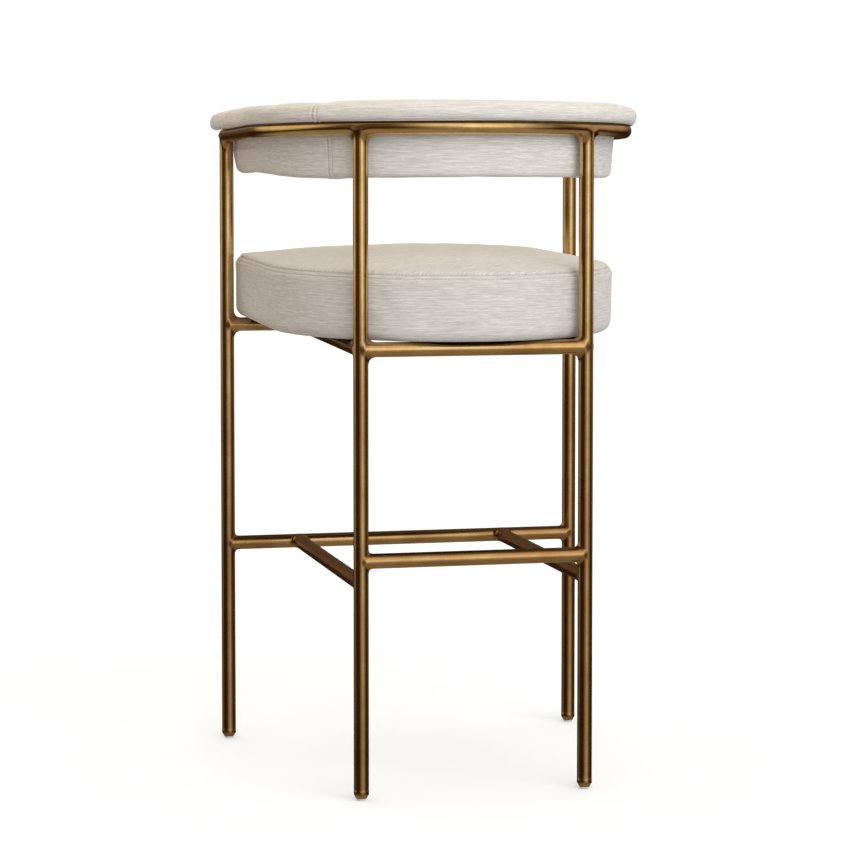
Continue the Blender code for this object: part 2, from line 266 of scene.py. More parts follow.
LINEN_LIGHT = (0.835, 0.82, 0.79)
LINEN_DARK = (0.50, 0.485, 0.46)
LINEN_MIDDLE = tuple((light + dark) / 2 for light, dark in zip(LINEN_LIGHT, LINEN_DARK))
# One linen, darkened on the seat and lightened on the pad: painted shade on the seat cushion and painted
# light on the pad.
SEAT_LINEN_PAINTED_SHADE = 0.96
PAD_LINEN_PAINTED_LIGHT = 1.07
# Brown for the patina in the welds, and for the painted shade towards the bottom.
PATINA_AND_SHADE_BROWN = (0.22, 0.09, 0.030)
PAINTED_SHADE_STARTS, PAINTED_SHADE_FULL = 0.70, 0.50  # heights between which painted shade turns the brass browner towards the bottom


def brass_material():
    """Antique brass: gold streaked along each bar, with a brown patina in the welds, and painted shade that
    browns it towards the bottom.
    """
    n = Material("antique_brass")
    along = n.attribute("bar_coord")["Vector"]
    weld = n.attribute("weld")["Fac"]
    place = n.object_place()
    streaks = n.grain(along, (6.0, 420.0, 420.0), 3.0, 0.6)
    fine = n.grain(along, (30.0, 1500.0, 1500.0), 2.0, 0.6)
    mottle = n.noise(place, 38.0, 4.0, 0.62)
    cloud = n.noise(place, 7.0, 2.0, 0.5)
    gold = n.ramp(
        n.math("MULTIPLY_ADD", mottle, 0.55, n.times(streaks, 0.45)),
        (0.30, (0.52, 0.31, 0.115)),
        (0.50, (0.69, 0.48, 0.215)),
        (0.68, (0.80, 0.60, 0.31)),
    )
    patina_and_shade = n.times(n.math("SMOOTH_MIN", 1.0, weld, 0.1), 0.55)
    patina_and_shade = n.math("ADD", patina_and_shade, n.times(n.math("SUBTRACT", cloud, 0.42), 0.8))
    # Painted shade: the frame is made browner towards the bottom, as if its lower parts caught less light.
    height = n.add("ShaderNodeSeparateXYZ", {"Vector": place}).outputs["Z"]
    heights = {"Value": height, "From Min": PAINTED_SHADE_STARTS, "From Max": PAINTED_SHADE_FULL}
    low_down_shade = n.add("ShaderNodeMapRange", heights).outputs[0]
    patina_and_shade = n.capped(n.math("MULTIPLY_ADD", low_down_shade, 0.46, patina_and_shade), 0.80)
    n.set(Base_Color=n.mix(patina_and_shade, gold, PATINA_AND_SHADE_BROWN), Metallic=1.0)
    rough = n.math("MULTIPLY_ADD", fine, 0.14, 0.11)
    n.set(Roughness=n.math("ADD", rough, n.times(patina_and_shade, 0.10)))
    n.set(Normal=n.bump(streaks, 0.00006, 0.5, n.bump(fine, 0.00002, 0.5)))
    return n.material


def linen_material(name, shade):
    """Slub linen: fine crossed threads, thick and thin weft lines, and faint colour changes."""
    tones = (LINEN_DARK, LINEN_MIDDLE, LINEN_LIGHT)
    dark_tone, middle_tone, light_tone = [tuple(shade * part for part in tone) for tone in tones]
    n = Material(name)
    weave = n.attribute("weave")["Vector"]
    slub = n.grain(weave, (58.0, 820.0, 1.0), 3.0, 0.6)
    long_slub = n.grain(weave, (17.0, 430.0, 1.0), 2.0, 0.55)
    weft = n.grain(weave, (120.0, 1500.0, 1.0), 1.0, 0.5)
    warp = n.grain(weave, (1250.0, 90.0, 1.0), 1.0, 0.5)
    blotch = n.grain(weave, (26.0, 26.0, 1.0), 3.0, 0.6)
    lines = n.math("MULTIPLY_ADD", slub, 0.6, n.times(long_slub, 0.4))
    tone = n.ramp(lines, (0.33, dark_tone), (0.52, middle_tone), (0.66, light_tone))
    gaps = n.capped(n.times(n.math("SUBTRACT", 0.62, weft), 0.35), 0.18)
    tone = n.mix(gaps, tone, (0.46, 0.42, 0.36))
    tone = n.mix(n.times(blotch, 0.10), tone, (0.60, 0.57, 0.52))
    # Painted shade: the rows on a sewn line are darkened, as if in the shade of the seam's groove.
    tone = n.mix(n.times(n.attribute("sewn")["Fac"], 0.42), tone, (0.30, 0.25, 0.20))
    n.set(Base_Color=tone, Roughness=0.92)
    n.set(Sheen_Weight=0.25, Sheen_Roughness=0.45, Specular_IOR_Level=0.2)
    threads = n.bump(n.math("ADD", weft, warp), 0.00035, 0.7)
    n.set(Normal=n.bump(lines, 0.0007, 0.6, threads))
    return n.material


def plain_material(name, light, dark, rough, scale, bump=0.0002, stretch=(1.0, 1.0, 1.0), metallic=0.0):
    """A solid stuff with a two-tone grain: nylon, plywood, dust cloth, thread or zinc."""
    n = Material(name)
    place = n.scaled(n.object_place(), stretch)
    grain = n.noise(place, scale, 4.0, 0.6)
    n.set(Base_Color=n.ramp(grain, (0.3, dark), (0.7, light)), Metallic=metallic)
    n.set(Roughness=n.math("MULTIPLY_ADD", grain, 0.15, rough))
    n.set(Normal=n.bump(grain, bump, 0.6))
    return n.material


# ------------ the frame's shape as a distance

BAR_SIDES = 20  # of the rough shell that is turned into the frame's skin
RAIL_STEPS = 72
MOST_MOVE = 0.003  # of a point of the skin, in one step towards the frame's surface
SKIN_PASSES = ((0.0032, 5), (0.0024, 6))  # (size of the skin's squares, steps towards the surface)


def unit(vector):
    return vector / np.maximum(np.linalg.norm(vector, axis=-1, keepdims=True), 1e-12)


def capped(radial, axial, out, onward):
    """Distance and direction from a bar's wall and end, given those along each of them."""
    beside, beyond = np.maximum(radial, 0.0), np.maximum(axial, 0.0)
    distance = np.minimum(np.maximum(radial, axial), 0.0) + np.hypot(beside, beyond)
    inside = (radial <= 0) & (axial <= 0)
    weight_out = np.where(inside, radial >= axial, beside).astype(float)
    weight_on = np.where(inside, radial < axial, beyond).astype(float)
    return distance, unit(weight_out[:, None] * out + weight_on[:, None] * onward)


class Bar:
    """A straight round bar from start to end."""

    def __init__(self, start, end):
        self.start = np.array(start, float)
        self.length = float(np.linalg.norm(np.array(end, float) - self.start))
        self.line = (np.array(end, float) - self.start) / self.length
        level = abs(self.line[2]) < 0.5
        self.side = np.cross(self.line, (0.0, 0.0, 1.0)) if level else np.array((1.0, 0.0, 0.0))
        self.rise = np.cross(self.side, self.line)

    def distance(self, points):
        reach = points - self.start
        along = reach @ self.line
        out = reach - along[:, None] * self.line
        radial = np.linalg.norm(out, axis=1) - TUBE_R
        axial = np.maximum(-along, along - self.length)
        onward = np.where(along[:, None] > self.length / 2, self.line, -self.line)
        return capped(radial, axial, unit(out), onward)

    def coordinates(self, points):
        reach = points - self.start
        return np.stack([reach @ self.line, reach @ self.side, reach @ self.rise], axis=1)

    def shell(self):
        ends = [self.start, self.start + self.line * self.length]
        return tube_shell([(end, self.side, self.rise) for end in ends])


class TopRail:
    """The U-shaped bar: two straight arms and a half circle."""

    def offset(self, points):
        """Level offset out of the U, and its direction, for each point."""
        on_arc = points[:, 1] > ARC_Y
        reach = np.stack([points[:, 0], points[:, 1] - ARC_Y, np.zeros(len(points))], axis=1)
        round_out = unit(reach)
        arm_out = np.zeros_like(reach)
        arm_out[:, 0] = np.where(points[:, 0] >= 0, 1.0, -1.0)
        out = np.where(on_arc[:, None], round_out, arm_out)
        away = np.where(on_arc, np.linalg.norm(reach, axis=1), np.abs(points[:, 0])) - FRONT_HALF
        return away, out

    def distance(self, points):
        away, out = self.offset(points)
        height = points[:, 2] - RAIL_Z + arm_drop(points[:, 1])
        across = away[:, None] * out
        across[:, 2] = height
        radial = np.hypot(away, height) - TUBE_R
        axial = RAIL_FRONT + CAP_LENGTH - points[:, 1]
        onward = np.tile((0.0, -1.0, 0.0), (len(points), 1))
        return capped(radial, axial, unit(across), onward)

    def coordinates(self, points):
        away, _ = self.offset(points)
        turn = np.arctan2(points[:, 1] - ARC_Y, np.abs(points[:, 0]))
        run = np.where(points[:, 1] > ARC_Y, turn * FRONT_HALF, points[:, 1] - ARC_Y)
        height = points[:, 2] - RAIL_Z + arm_drop(points[:, 1])
        return np.stack([run * np.sign(points[:, 0] + 1e-9), away, height], axis=1)

    def shell(self):
        rise = np.array((0.0, 0.0, 1.0))
        front = RAIL_FRONT + CAP_LENGTH
        plan = [((FRONT_HALF, front), (1.0, 0.0))]
        for turn in np.linspace(0.0, math.pi, RAIL_STEPS + 1):
            out = (math.cos(turn), math.sin(turn))
            plan.append(((FRONT_HALF * out[0], ARC_Y + FRONT_HALF * out[1]), out))
        plan.append(((-FRONT_HALF, front), (-1.0, 0.0)))
        stations = []
        for (x, y), out in plan:
            stations.append((np.array((x, y, RAIL_Z - arm_drop(y))), np.array((*out, 0.0)), rise))
        return tube_shell(stations)


def tube_shell(stations):
    """Points and faces of a round bar through stations of (centre, side, rise), closed at both ends."""
    points = []
    for centre, side, rise in stations:
        for turn in turns(BAR_SIDES):
            points.append(centre + TUBE_R * (math.cos(turn) * side + math.sin(turn) * rise))
    return points, bar_faces(len(stations), BAR_SIDES)


def frame_bars():
    """Every bar of the frame. A bar that ends on another starts a little off that one's axis."""
    off = TUBE_R * 0.4
    bars = [TopRail()]
    for leg in LEGS.values():
        top = RAIL_Z - arm_drop(leg.y) - off
        bars.append(Bar((leg.x, leg.y, LEG_TIP_Z + TIP_HEIGHT / 2), (leg.x, leg.y, top)))
    levels = ((SEAT_Z + SEAT_RISE, SEAT_Z, SEAT_Z), (FOOT_Z, FOOT_REAR_Z, FOOT_Z))
    for front_z, rear_z, crossbar_rear_z in levels:
        bars.append(Bar((FRONT_HALF - off, FRONT_Y, front_z), (off - FRONT_HALF, FRONT_Y, front_z)))
        bars.append(Bar((REAR_HALF - off, REAR_Y, rear_z), (off - REAR_HALF, REAR_Y, rear_z)))
        for x in (REAR_HALF, -REAR_HALF):
            bars.append(Bar((x, FRONT_Y + off, front_z), (x, REAR_Y - off, crossbar_rear_z)))
    return bars


BARS = frame_bars()


def fillet_size(height):
    """How far a weld's fillet reaches, by height: large at the top rail, small at the footrest."""
    low = FOOT_FILLET + (SEAT_FILLET - FOOT_FILLET) * smoothstep(height, FOOT_REAR_Z + 0.05, SEAT_Z - 0.05)
    return low + (RAIL_FILLET - SEAT_FILLET) * smoothstep(height, SEAT_Z + 0.05, RAIL_Z - 0.05)


def frame_distance(points):
    """Distance to the welded frame, its direction, the nearest bar, and how much weld is there."""
    found = [bar.distance(points) for bar in BARS]
    distances = np.stack([d for d, _ in found])
    order = np.argsort(distances, axis=0)[:3]
    index = np.arange(len(points))
    reach = fillet_size(points[:, 2])
    near = [distances[order[k], index] for k in range(3)]
    ways = np.stack([way for _, way in found])
    best = near[0].copy()
    direction = ways[order[0], index]
    weld = np.zeros(len(points))
    for first, second in ((0, 1), (0, 2), (1, 2)):
        way_a, way_b = ways[order[first], index], ways[order[second], index]
        corner = np.clip(1.0 - np.einsum("ij,ij->i", way_a, way_b), 0.0, 1.0) * reach + 1e-9
        share = np.clip(1.0 - (near[second] - near[first]) / corner, 0.0, 1.0)
        joined = near[first] - share * share * corner / 4
        better = joined < best
        mixed = unit(way_a * (1 - share / 2)[:, None] + way_b * (share / 2)[:, None])
        direction = np.where(better[:, None], mixed, direction)
        weld = np.where(better, np.maximum(weld, share * np.minimum(corner / reach, 1.0)), weld)
        best = np.minimum(best, joined)
    return best, direction, order[0], weld


def onto_frame(points, steps):
    """The points moved onto the frame's surface, a little in each step."""
    for _ in range(steps):
        distance, direction, _, _ = frame_distance(points)
        points = points - np.clip(distance, -MOST_MOVE, MOST_MOVE)[:, None] * direction
    return points


def remeshed(mesh, voxel):
    """The mesh rebuilt as one even skin of squares."""
    helper = new_object("remesh_helper", mesh)
    step = helper.modifiers.new("remesh", "REMESH")
    step.mode = "VOXEL"
    step.voxel_size = voxel
    graph = bpy.context.evaluated_depsgraph_get()
    made = bpy.data.meshes.new_from_object(helper.evaluated_get(graph))
    bpy.data.objects.remove(helper)
    return made


def make_frame(brass):
    """One welded skin over all the bars, its fillets worked out from the distance to the bars."""
    points, faces = [], []
    for bar in BARS:
        shell_points, shell_faces = bar.shell()
        faces += [tuple(i + len(points) for i in face) for face in shell_faces]
        points += shell_points
    mesh = mesh_from("frame_shell", points, faces)
    for voxel, steps in SKIN_PASSES:
        mesh = remeshed(mesh, voxel)
        set_points(mesh, onto_frame(points_of(mesh), steps))
    mesh.name = "brass_frame"
    skin = points_of(mesh)
    _, direction, nearest, weld = frame_distance(skin)
    coordinates = np.zeros_like(skin)
    for k, bar in enumerate(BARS):
        chosen = nearest == k
        coordinates[chosen] = bar.coordinates(skin[chosen]) + (0.0, 0.05 * k, 0.0)
    write_attribute(mesh, "bar_coord", "FLOAT_VECTOR", "POINT", coordinates)
    write_attribute(mesh, "weld", "FLOAT", "POINT", weld)
    mesh.shade_smooth()
    mesh.normals_split_custom_set_from_vertices([tuple(way) for way in direction])
    mesh.materials.clear()
    made = new_object("brass_frame", mesh, brass)
    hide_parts("top_rail", *("leg_" + corner for corner in LEGS))
    for level in ("seat", "footrest"):
        parts = ("rail_front", "rail_rear", "crossbar_left", "crossbar_right")
        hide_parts(*(f"{level}_{part}" for part in parts))
    finish_piece(made)


def write_attribute(mesh, name, kind, domain, values):
    attribute = mesh.attributes.new(name, kind, domain)
    key = "vector" if kind == "FLOAT_VECTOR" else "value"
    attribute.data.foreach_set(key, np.ascontiguousarray(values, np.float32).ravel())


def finish_piece(piece):
    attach(piece, "root")


# ------------ turned pieces

TURNED_SIDES = 48
TURNED_WELD = 0.25  # the turned pieces are as brown as a frame's skin with this much weld
SHARP_ANGLE = math.radians(50)


def turned(name, profile, place, axis, finish):
    """A closed (radius, height) profile turned about axis at place, shaded smooth between its edges."""
    turn_to = Vector((0, 0, 1)).rotation_difference(Vector(axis)).to_matrix()
    points, faces, rings = [], [], []
    for radius, height in profile:
        count = 1 if radius < 1e-9 else TURNED_SIDES
        rings.append((len(points), count))
        for turn in turns(count):
            spot = Vector((radius * math.cos(turn), radius * math.sin(turn), height))
            points.append(Vector(place) + turn_to @ spot)
    for (first, many), (second, more) in zip(rings, rings[1:]):
        for k in range(TURNED_SIDES):
            after = (k + 1) % TURNED_SIDES
            low = [first] if many == 1 else [first + k, first + after]
            high = [second] if more == 1 else [second + after, second + k]
            faces.append(tuple(low + high))
    mesh = mesh_from(name, points, faces)
    mesh.shade_smooth()
    mesh.set_sharp_from_angle(angle=SHARP_ANGLE)
    local = np.array(points) - np.array(place)
    write_attribute(mesh, "bar_coord", "FLOAT_VECTOR", "POINT", local[:, (2, 0, 1)])
    write_attribute(mesh, "weld", "FLOAT", "POINT", np.full(len(points), TURNED_WELD))
    return new_object(name, mesh, finish)


def rounded(radius, edge, steps=5):
    """Profile points of a rounded edge from the wall at `radius` in to the flat end at height 0."""
    found = []
    for k in range(steps + 1):
        turn = 0.5 * math.pi * k / steps
        found.append((radius - edge + edge * math.cos(turn), -edge * (1 - math.sin(turn))))
    return found


def make_turned_pieces(brass, nylon):
    """Tapered leg tips, the glides in them, and the caps in the top rail's ends."""
    glide_r = size("glide_front_left").x / 2 / FLAT_SHARE
    for corner, leg in LEGS.items():
        neck = LEG_TIP_Z + 0.0045
        sleeve_r, sleeve_top = TUBE_R + 0.00008, LEG_TIP_Z + TIP_HEIGHT
        tip = [(0.0, LEG_TIP_Z + 0.0002), (glide_r + 0.0012, LEG_TIP_Z + 0.0002)]
        tip += [(TUBE_R - 0.0012, neck - 0.0008), (TUBE_R - 0.0003, neck), (sleeve_r, neck + 0.001)]
        tip += [(sleeve_r, sleeve_top - 0.001), (TUBE_R - 0.0003, sleeve_top), (0.0, sleeve_top)]
        finish_piece(turned("leg_tip_" + corner, tip, (leg.x, leg.y, 0), (0, 0, 1), brass))
        foot = [(0.0, 0.0), (glide_r - 0.0014, 0.0), (glide_r - 0.0004, 0.0005), (glide_r, 0.0014)]
        foot += [(glide_r, LEG_TIP_Z), (0.0, LEG_TIP_Z)]
        piece = turned("glide_pad_" + corner, foot, (leg.x, leg.y, 0), (0, 0, 1), nylon)
        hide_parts("glide_" + corner)
        finish_piece(piece)
    for side, x in (("left", FRONT_HALF), ("right", -FRONT_HALF)):
        cap = [(0.0, -CAP_LENGTH - 0.0002), (TUBE_R, -CAP_LENGTH - 0.0002)]
        cap += rounded(TUBE_R, 0.0018) + [(0.0, 0.0)]
        piece = turned("rail_cap_" + side, cap, (x, RAIL_FRONT, ARM_END_Z), (0, -1, 0), brass)
        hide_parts("top_rail_end_cap_" + side)
        finish_piece(piece)


# ------------ cloth on a grid of rows and columns

CLOTH_FRAMES = 20
CLOTH_SETTINGS = {
    "quality": 6,
    "mass": 0.25,
    "tension_stiffness": 18,
    "compression_stiffness": 12,
    "shear_stiffness": 8,
    "bending_stiffness": 0.6,
    "use_pressure": True,
    "uniform_pressure_force": 4.0,
    "vertex_group_mass": "held",
}
ROOM_TO_FRAME = 0.0003
GROOVE = (0.0007, 0.0014, 0.0026)  # distances from a sewn line of the rows that shape its groove
SEAM_DEPTH = 0.0014
STITCH_DEPTH = 0.0012
SEAM_SHADE_WIDTH = 0.0009  # of the painted shade along a seam's groove, from its middle
STITCH_LENGTH, STITCH_PITCH = 0.0036, 0.0052
THREAD_R = 0.00032


def cubic(values, place, wrap):
    """Catmull-Rom reading of rows of `values` at fractional row numbers, wrapping or not."""
    count = len(values)
    base = np.floor(place).astype(int)
    t = (place - base)[:, None, None]
    picks = []
    for shift in (-1, 0, 1, 2):
        row = base + shift
        picks.append(values[row % count] if wrap else values[np.clip(row, 0, count - 1)])
    a, b, c, d = picks
    return b + 0.5 * t * (c - a + t * (2 * a - 5 * b + 4 * c - d + t * (3 * (b - c) + d - a)))


def resampled(grid, rows, columns):
    """The grid read at new fractional rows and columns; columns go round."""
    stretched = cubic(grid, rows, wrap=False)
    return cubic(stretched.transpose(1, 0, 2), columns, wrap=True).transpose(1, 0, 2)


def closed_grid(name, grid, start_pole, end_pole, flip=False):
    """A mesh of the grid, closed at both ends by fans round a pole."""
    rows, columns, _ = grid.shape
    points = np.concatenate([grid.reshape(-1, 3), [start_pole], [end_pole]])
    faces = ring_faces(rows, columns)
    first_pole, last_pole = rows * columns, rows * columns + 1
    last = (rows - 1) * columns
    for c in range(columns):
        nxt = (c + 1) % columns
        faces.append((nxt, c, first_pole))
        faces.append((last + c, last + nxt, last_pole))
    if flip:
        faces = [tuple(reversed(face)) for face in faces]
    return mesh_from(name, points, faces)


def inflate(name, grid, poles, held, caps, flip):
    """Blows the closed grid up as cloth under pressure, and returns the grid moved at most by caps."""
    mesh = closed_grid(name, grid, *poles, flip=flip)
    piece = new_object(name, mesh)
    group = piece.vertex_groups.new(name="held")
    weights = np.append(held.ravel(), (1.0, 1.0))
    for index, weight in enumerate(weights):
        group.add([index], float(weight), "REPLACE")
    cloth = piece.modifiers.new("cloth", "CLOTH")
    for key, value in CLOTH_SETTINGS.items():
        setattr(cloth.settings, key, value)
    cloth.settings.effector_weights.gravity = 0.0
    cloth.collision_settings.use_collision = False
    cloth.point_cache.frame_start = 1
    cloth.point_cache.frame_end = CLOTH_FRAMES
    scene = bpy.context.scene
    for number in range(1, CLOTH_FRAMES + 1):
        scene.frame_set(number)
    graph = bpy.context.evaluated_depsgraph_get()
    blown = points_of(piece.evaluated_get(graph).to_mesh())[: grid.shape[0] * grid.shape[1]]
    scene.frame_set(1)
    bpy.data.objects.remove(piece)
    move = blown.reshape(grid.shape) - grid
    length = np.linalg.norm(move, axis=2, keepdims=True)
    limit = caps[:, :, None]
    eased = limit * np.tanh(length / np.maximum(limit, 1e-9))
    return grid + move * eased / np.maximum(length, 1e-12)


def grid_normals(grid):
    """Unit normals of a closed grid, turned so that they point out of its middle row."""
    across = np.roll(grid, -1, axis=1) - np.roll(grid, 1, axis=1)
    down = np.gradient(grid, axis=0)
    normals = unit(np.cross(across, down))
    row = len(grid) // 2
    outward = (normals[row] * (grid[row] - grid[row].mean(axis=0))).sum() > 0
    return normals if outward else -normals


def clear_of_frame(grid):
    """Moves every point that is too near the frame straight out of it."""
    flat = grid.reshape(-1, 3)
    for _ in range(3):
        distance, direction, _, _ = frame_distance(flat)
        flat = flat + np.maximum(ROOM_TO_FRAME - distance, 0.0)[:, None] * direction
    return flat.reshape(grid.shape)


def lengths_of(points):
    """Running length along a row of points, from 0."""
    steps = np.linalg.norm(np.diff(points, axis=0), axis=1)
    return np.concatenate([[0.0], np.cumsum(steps)])


def read_at(line, run, places):
    """Points on a line of points, at places along its running length."""
    return np.stack([np.interp(places, run, part) for part in line.T], axis=1)


def row_places(total, spacing, seams):
    """Evenly spaced places from 0 to total, with close ones added on both sides of each seam."""
    places = list(np.linspace(0.0, total, max(2, round(total / spacing) + 1)))
    for seam in seams:
        places = [p for p in places if abs(p - seam) > GROOVE[-1] + spacing * 0.35]
        places += [seam] + [seam + side * step for step in GROOVE for side in (-1, 1)]
    return np.array(sorted(p for p in places if 0.0 <= p <= total))


def seam_dip(offset, depth, width=0.0010):
    """Depth of a sewn line's narrow groove at a distance from it."""
    return depth * np.exp(-((offset / width) ** 2))


def finer_grid(blown, run, spacing, seams, column_step, girth):
    """The blown grid read more finely: places of its rows and columns, points and normals."""
    places = row_places(run[-1], spacing, seams)
    rows = np.interp(places, run, np.arange(len(run)))
    fine = resampled(blown, rows, np.arange(0, blown.shape[1], column_step))
    around = np.arange(fine.shape[1]) / fine.shape[1] * girth
    return places, around, fine, grid_normals(fine)


def upholstered(mesh, from_line, columns, weave, linen):
    """A linen piece of the mesh, with painted shade in the rows on a sewn line, and its threads laid as
    weave says.
    """
    # This attribute marks the rows on a sewn line for painted shade.
    sewn = np.repeat(seam_dip(from_line, 1.0, SEAM_SHADE_WIDTH), columns)
    write_attribute(mesh, "sewn", "FLOAT", "POINT", np.append(sewn, (0.0, 0.0)))
    write_attribute(mesh, "weave", "FLOAT_VECTOR", "CORNER", weave)
    mesh.shade_smooth()
    piece = new_object(mesh.name, mesh, linen)
    finish_piece(piece)
    return piece


def spans_round(places):
    """Each place with the next one, when they go round from 0."""
    return list(zip(places, [*places[1:], places[-1] + places[1]]))


def stitches(name, line, normals, thread):
    """Short threads laid along a line of points, each dipping into the cloth at both ends."""
    run = lengths_of(line)
    count = int(run[-1] / STITCH_PITCH)
    points, faces = [], []
    sides, rings = 6, 5
    shares = np.linspace(-0.5, 0.5, rings)
    for k in range(count):
        places = (k + 0.5) * run[-1] / count + shares * STITCH_LENGTH
        spots = read_at(line, run, places)
        ups = unit(read_at(normals, run, places))
        ahead = unit((spots[-1] - spots[0])[None, :])[0]
        for share, spot, up in zip(shares, spots, ups):
            bow = 1 - (2 * share) ** 2
            side = np.cross(ahead, up)
            centre = spot + up * (THREAD_R * (1.5 * bow - 0.7))
            ring = THREAD_R * (0.55 + 0.45 * bow)
            for turn in turns(sides):
                points.append(centre + ring * (math.cos(turn) * side + math.sin(turn) * up))
        faces += bar_faces(rings, sides, len(points) - sides * rings)
    mesh = mesh_from(name, points, faces)
    mesh.shade_smooth()
    finish_piece(new_object(name, mesh, thread))


# ------------ seat cushion

SEAT_COLUMNS = 168
SEAT_BOTTOM = SEAT_LOW.z - seat_climb(SEAT_HIGH.y)
SEAT_TOP = SEAT_BOTTOM + 0.1201
SEAT_SEAM_Z = SEAT_TOP - 0.0305
SEAT_STITCH_DROP = 0.0060
SEAT_CORNER_R = 0.014
CORNER_EASES = 0.9
EDGE_DROOP = 0.0055
SIDE_START = 9  # the profile point where the cushion's side begins
FLAT_INSET = 0.025  # the underside further in than this lies flat on the seat board
TOP_INSET, TOP_REACH = 0.0110, 0.238  # the top panel's outer and inner rows, as insets
CROWN_DROP = 0.0075  # the cloth's swelling lifts the crown by about this much
CROWN_POWER = 1.8
SIDE_PUFF = (0.0012, 0.0030)  # the cloth's largest move at the seam, and what is added away from it
TOP_PUFF = (0.0018, 0.0050)
LINEN_SLANT = math.radians(38)  # of the threads on the seat's top and underside


def seat_plan(inset, count=SEAT_COLUMNS):
    """The seat's outline, `count` points anticlockwise from its front right corner, moved in by inset."""
    half = SEAT_HIGH.x - inset
    front = SEAT_LOW.y + inset
    corner = min(SEAT_CORNER_R + CORNER_EASES * inset, 0.9 * half)
    arc = [(half * math.cos(a), ARC_Y + half * math.sin(a)) for a in np.linspace(0, math.pi, 61)]
    round_corners = []
    for side, start in ((-1, math.pi), (1, 1.5 * math.pi)):
        x, y = side * (half - corner), front + corner
        bend = np.linspace(start, start + math.pi / 2, 13)
        round_corners.append([(x + corner * math.cos(a), y + corner * math.sin(a)) for a in bend])
    right, left = round_corners
    outline = np.array(right[6:] + left + arc + right[:7])
    run = lengths_of(outline)
    return read_at(outline, run, np.arange(count) * run[-1] / count)


def seat_profile():
    """(inset, height) points from under the seat, round its lower edge, up the side and over the top."""
    bottom = SEAT_BOTTOM
    seam = SEAT_SEAM_Z
    profile = [(inset, bottom) for inset in (0.236, 0.19, 0.14, 0.09, 0.05, 0.030)]
    profile.append((0.0235, bottom - 0.4 * EDGE_DROOP))
    edge = 0.015
    for turn in np.radians((0, 22, 44, 66, 90)):
        inset, height = edge * (1 - math.sin(turn)), edge * (1 - math.cos(turn))
        profile.append((inset + 0.0015, bottom - EDGE_DROOP + height))
    profile += [(0.0012, bottom + share * (seam - bottom)) for share in (0.32, 0.48, 0.64, 0.80, 0.90)]
    profile.append((0.0034, seam - 0.004))
    profile.append((0.0062, seam))
    over_seam = seam + 0.0045
    profile.append((TOP_INSET, over_seam))
    rise = SEAT_TOP - CROWN_DROP - over_seam
    for share in (0.08, 0.17, 0.27, 0.39, 0.52, 0.66, 0.80, 0.94):
        height = over_seam + rise * (1 - (1 - share) ** CROWN_POWER)
        profile.append((TOP_INSET + TOP_REACH * share, height))
    return profile


def make_seat(linen, thread):
    """The seat cushion: a boxed cushion blown up as cloth, then sewn round its upper edge."""
    profile = np.array(seat_profile())
    grid = np.array([[(x, y, z) for x, y in seat_plan(inset)] for inset, z in profile])
    run = lengths_of(profile)
    seam_run = np.interp(SEAT_SEAM_Z, profile[SIDE_START:, 1], run[SIDE_START:])
    from_seam = np.abs(run - seam_run)
    flat_below = (profile[:, 0] > FLAT_INSET) & (run <= run[len(run) // 2])
    side_caps = SIDE_PUFF[0] + SIDE_PUFF[1] * smoothstep(from_seam, 0.004, 0.045)
    top_caps = TOP_PUFF[0] + TOP_PUFF[1] * smoothstep(from_seam, 0.004, 0.10)
    caps = np.where(flat_below, 0.0, np.where(run < seam_run, side_caps, top_caps))
    whole_row = np.ones(SEAT_COLUMNS)
    bottom_pole = (0.0, (ARC_Y + SEAT_LOW.y) / 2, SEAT_BOTTOM)
    top_pole = (0.0, grid[-1, :, 1].mean(), profile[-1, 1] + 0.0004)
    held = np.outer(flat_below, whole_row)
    caps = np.outer(caps, whole_row)
    blown = inflate("seat_blown", grid, (bottom_pole, top_pole), held, caps, flip=False)

    stitch_run = seam_run - SEAT_STITCH_DROP
    girth = lengths_of(seat_plan(0.0))[-1]
    seams = (stitch_run, seam_run)
    places, around, fine, normals = finer_grid(blown, run, 0.0045, seams, 0.3333333, girth)
    offset = places - seam_run
    dip = np.outer(seam_dip(offset, SEAM_DEPTH), 1 + 0.25 * ripple(around, 0.045, 1))
    dip += np.outer(seam_dip(places - stitch_run, STITCH_DEPTH), 1 + 0.3 * ripple(around, 0.03, 2))
    from_start = np.minimum(around, around[-1] + around[1] - around)
    boxed = (places > run[SIDE_START]) & (places < seam_run)
    dip += np.outer(boxed, seam_dip(from_start, STITCH_DEPTH, 0.0016))
    pucker = np.outer(0.00034 * np.exp(-np.abs(offset + 0.004) / 0.010), ripple(around, 0.017, 3))
    slack = 0.0007 * smoothstep(np.abs(offset), 0.01, 0.05) * smoothstep(run[-1] - places, 0.0, 0.08)
    slack = np.outer(np.where(places < run[SIDE_START], 0.0, slack), ripple(around, 0.19, 4))
    fine = fine + normals * (pucker + slack - dip)[:, :, None]
    inner = places < run[5]
    fine[inner, :, 2] = np.maximum(fine[inner, :, 2], SEAT_BOTTOM)
    fine[:, :, 2] += seat_climb(fine[:, :, 1])
    fine = clear_of_frame(fine)
    mesh = closed_grid("seat_cushion", fine, fine[0].mean(axis=0), fine[-1].mean(axis=0))
    from_line = np.minimum(np.abs(offset), np.abs(places - stitch_run))
    weave = seat_weave(fine, around, places, side_start=run[SIDE_START], side_end=seam_run)
    piece = upholstered(mesh, from_line, len(around), weave, linen)
    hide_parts("seat_cover", "seat_foam")
    row = int(np.argmin(np.abs(places - stitch_run)))
    line = np.concatenate([fine[row], fine[row, :1]])
    ways = np.concatenate([normals[row], normals[row, :1]])
    stitches("seat_stitching", line, ways, thread)


